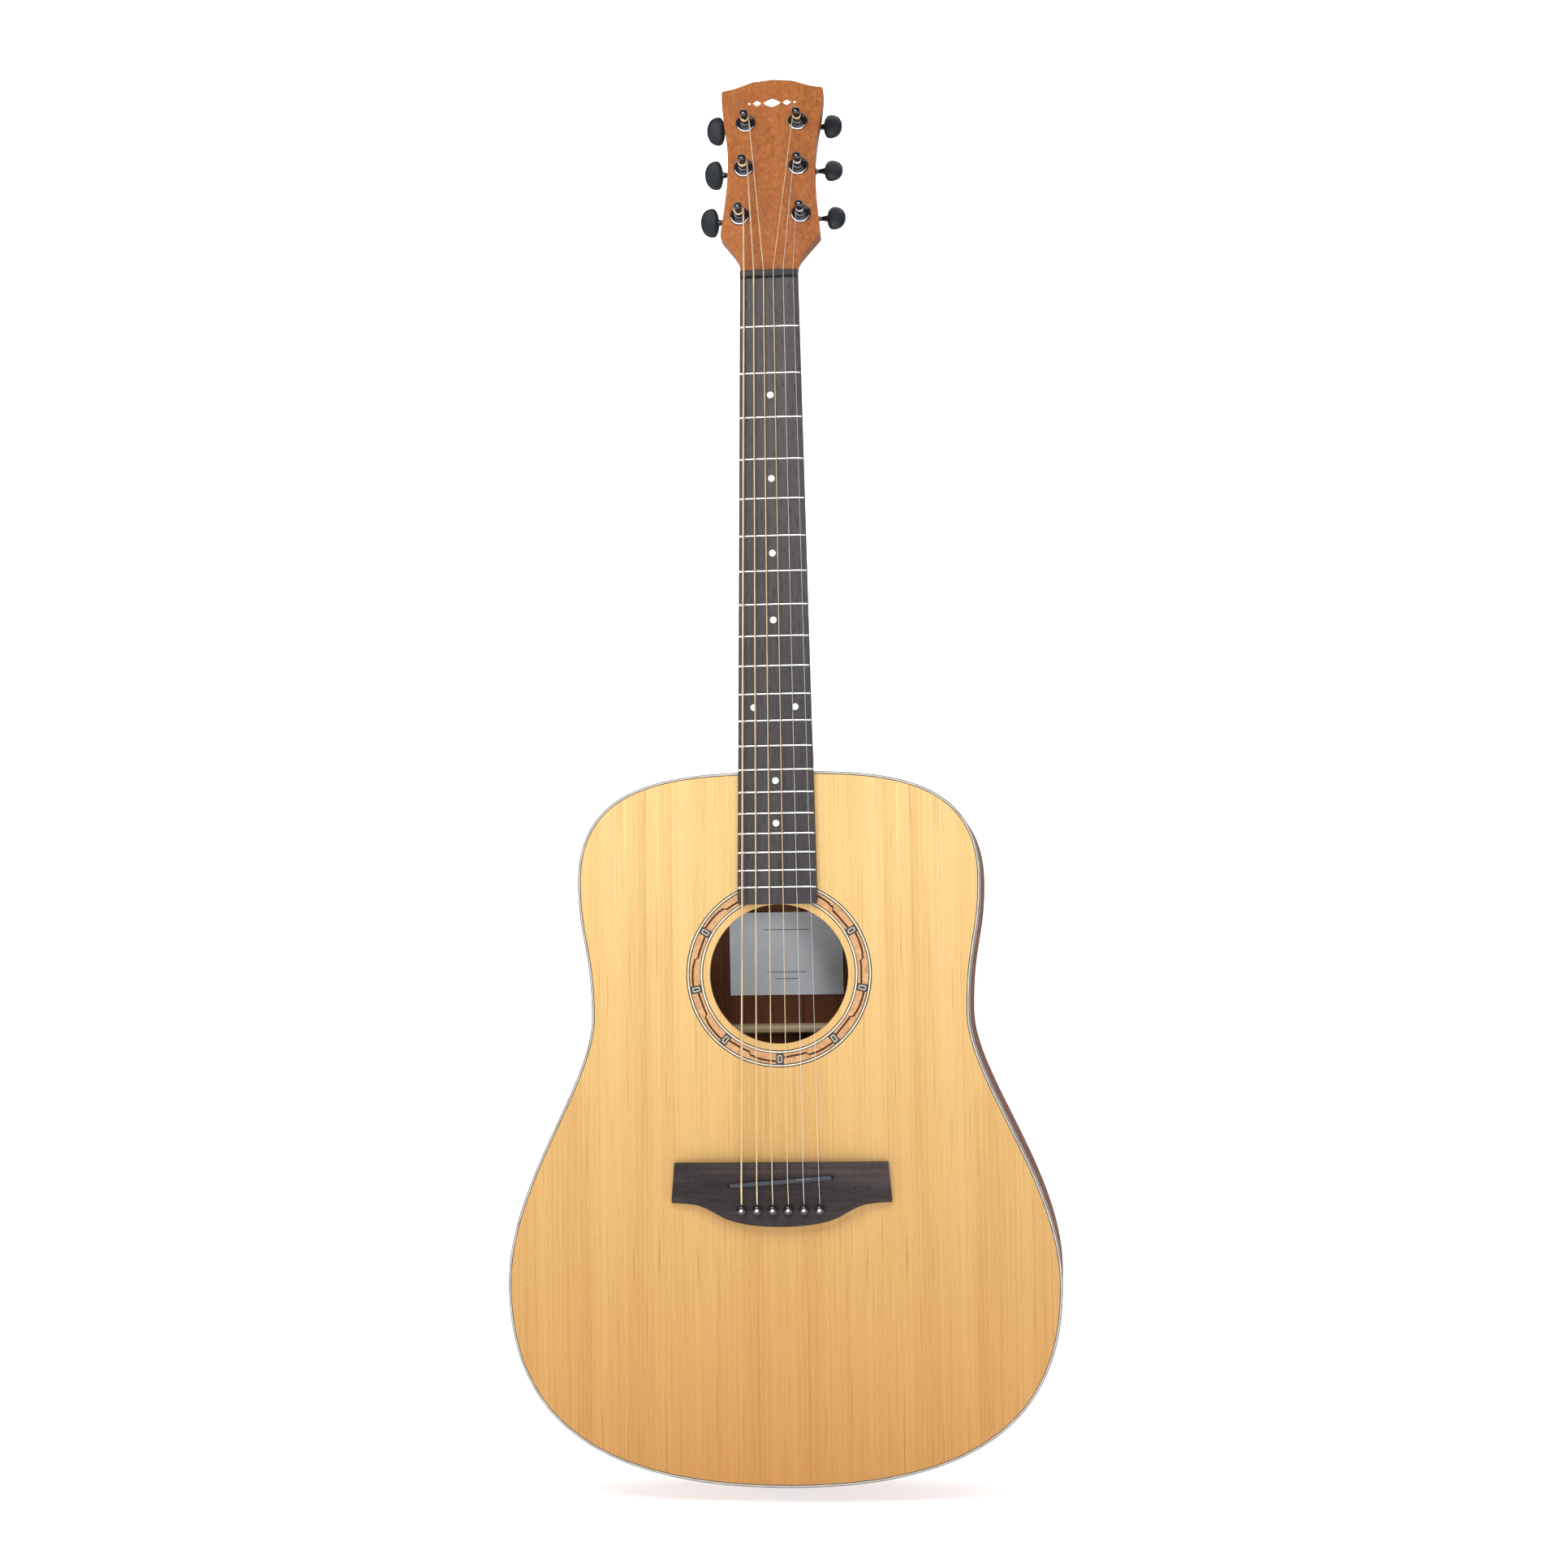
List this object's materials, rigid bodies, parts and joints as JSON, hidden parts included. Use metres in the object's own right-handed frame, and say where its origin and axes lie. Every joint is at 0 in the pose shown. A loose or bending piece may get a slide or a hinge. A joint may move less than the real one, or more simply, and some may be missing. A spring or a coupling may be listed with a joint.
{
  "type": "acoustic guitar",
  "caption": "Steel-string acoustic guitar with a broad-waisted body, straight neck, tilted head, geared tuning machines, round sound hole and pinned bridge.",
  "frame": {"origin": "middle of the nut's front edge, on the plane of the soundboard's face and the fingerboard's underside", "axes": "+Z along the neck towards the head, -Y out of the soundboard's face, +X towards the treble strings"},
  "size_m": [0.398, 0.1314, 1.0432],
  "materials": {
    "spruce": "satin lacquer",
    "mahogany": "satin lacquer",
    "rosewood": "oiled",
    "ebony": "oiled",
    "inner_wood": "bare",
    "binding": "gloss",
    "rosette": "satin lacquer",
    "black_plastic": "satin",
    "black_chrome": "gloss",
    "fret_wire": "polished",
    "steel": "plain",
    "bronze": "plain"
  },
  "bodies": {
    "body": {"back_bracing": "inner_wood", "back_plate": "mahogany", "binding_back": "binding", "binding_top": "binding", "bridge": "rosewood", "bridge_pin_1": "black_plastic", "bridge_pin_2": "black_plastic", "bridge_pin_3": "black_plastic", "bridge_pin_4": "black_plastic", "bridge_pin_5": "black_plastic", "bridge_pin_6": "black_plastic", "bridge_plate": "rosewood", "end_pin": "black_plastic", "fingerboard": "ebony", "frets": "fret_wire", "heel_cap": "rosewood", "lining_back": "inner_wood", "lining_top": "inner_wood", "neck": "mahogany", "neck_block": "inner_wood", "nut": "black_plastic", "rim_bass": "mahogany", "rim_treble": "mahogany", "rosette": "rosette", "saddle": "black_plastic", "soundboard": "spruce", "string_1": "steel", "string_2": "steel", "string_3": "bronze", "string_4": "bronze", "string_5": "bronze", "string_6": "bronze", "tail_block": "inner_wood", "top_bracing": "inner_wood", "truss_rod": "steel", "tuner_bushing_1": "black_chrome", "tuner_bushing_2": "black_chrome", "tuner_bushing_3": "black_chrome", "tuner_bushing_4": "black_chrome", "tuner_bushing_5": "black_chrome", "tuner_bushing_6": "black_chrome", "tuner_housing_1": "black_chrome", "tuner_housing_2": "black_chrome", "tuner_housing_3": "black_chrome", "tuner_housing_4": "black_chrome", "tuner_housing_5": "black_chrome", "tuner_housing_6": "black_chrome"},
    "key_1": {"tuner_key_1": "black_plastic"},
    "post_1": {"tuner_post_1": "black_chrome"},
    "key_2": {"tuner_key_2": "black_plastic"},
    "post_2": {"tuner_post_2": "black_chrome"},
    "key_3": {"tuner_key_3": "black_plastic"},
    "post_3": {"tuner_post_3": "black_chrome"},
    "key_4": {"tuner_key_4": "black_plastic"},
    "post_4": {"tuner_post_4": "black_chrome"},
    "key_5": {"tuner_key_5": "black_plastic"},
    "post_5": {"tuner_post_5": "black_chrome"},
    "key_6": {"tuner_key_6": "black_plastic"},
    "post_6": {"tuner_post_6": "black_chrome"},
    "rod_nut": {"truss_rod_nut": "steel"}
  },
  "joints": [
    {"name": "key_1_turn", "type": "hinge", "parent": "body", "child": "key_1", "pos_m": [0.0226, 0.0316, 0.05204], "axis": [1, 0, 0], "continuous": true},
    {"name": "post_1_turn", "type": "hinge", "parent": "body", "child": "post_1", "pos_m": [0.0226, 0.01132, 0.05091], "axis": [0, -0.9703, 0.2419], "continuous": true},
    {"name": "key_2_turn", "type": "hinge", "parent": "body", "child": "key_2", "pos_m": [0.0203, 0.04127, 0.09085], "axis": [1, 0, 0], "continuous": true},
    {"name": "post_2_turn", "type": "hinge", "parent": "body", "child": "post_2", "pos_m": [0.0203, 0.021, 0.08972], "axis": [0, -0.9703, 0.2419], "continuous": true},
    {"name": "key_3_turn", "type": "hinge", "parent": "body", "child": "key_3", "pos_m": [0.0195, 0.05039, 0.12743], "axis": [1, 0, 0], "continuous": true},
    {"name": "post_3_turn", "type": "hinge", "parent": "body", "child": "post_3", "pos_m": [0.0195, 0.03012, 0.1263], "axis": [0, -0.9703, 0.2419], "continuous": true},
    {"name": "key_4_turn", "type": "hinge", "parent": "body", "child": "key_4", "pos_m": [-0.0195, 0.05039, 0.12743], "axis": [1, 0, 0], "continuous": true},
    {"name": "post_4_turn", "type": "hinge", "parent": "body", "child": "post_4", "pos_m": [-0.0195, 0.03012, 0.1263], "axis": [0, -0.9703, 0.2419], "continuous": true},
    {"name": "key_5_turn", "type": "hinge", "parent": "body", "child": "key_5", "pos_m": [-0.0203, 0.04127, 0.09085], "axis": [1, 0, 0], "continuous": true},
    {"name": "post_5_turn", "type": "hinge", "parent": "body", "child": "post_5", "pos_m": [-0.0203, 0.021, 0.08972], "axis": [0, -0.9703, 0.2419], "continuous": true},
    {"name": "key_6_turn", "type": "hinge", "parent": "body", "child": "key_6", "pos_m": [-0.0226, 0.0316, 0.05204], "axis": [1, 0, 0], "continuous": true},
    {"name": "post_6_turn", "type": "hinge", "parent": "body", "child": "post_6", "pos_m": [-0.0226, 0.01132, 0.05091], "axis": [0, -0.9703, 0.2419], "continuous": true},
    {"name": "rod_nut_turn", "type": "hinge", "parent": "body", "child": "rod_nut", "pos_m": [0, 0.0069, -0.4063], "axis": [0, 0, 1], "range_deg": [-180, 180]}
  ],
  "couplings": [
    {"joint": "post_1_turn", "follows": "key_1_turn", "ratio": 0.071429},
    {"joint": "post_2_turn", "follows": "key_2_turn", "ratio": 0.071429},
    {"joint": "post_3_turn", "follows": "key_3_turn", "ratio": 0.071429},
    {"joint": "post_4_turn", "follows": "key_4_turn", "ratio": 0.071429},
    {"joint": "post_5_turn", "follows": "key_5_turn", "ratio": 0.071429},
    {"joint": "post_6_turn", "follows": "key_6_turn", "ratio": 0.071429}
  ]
}
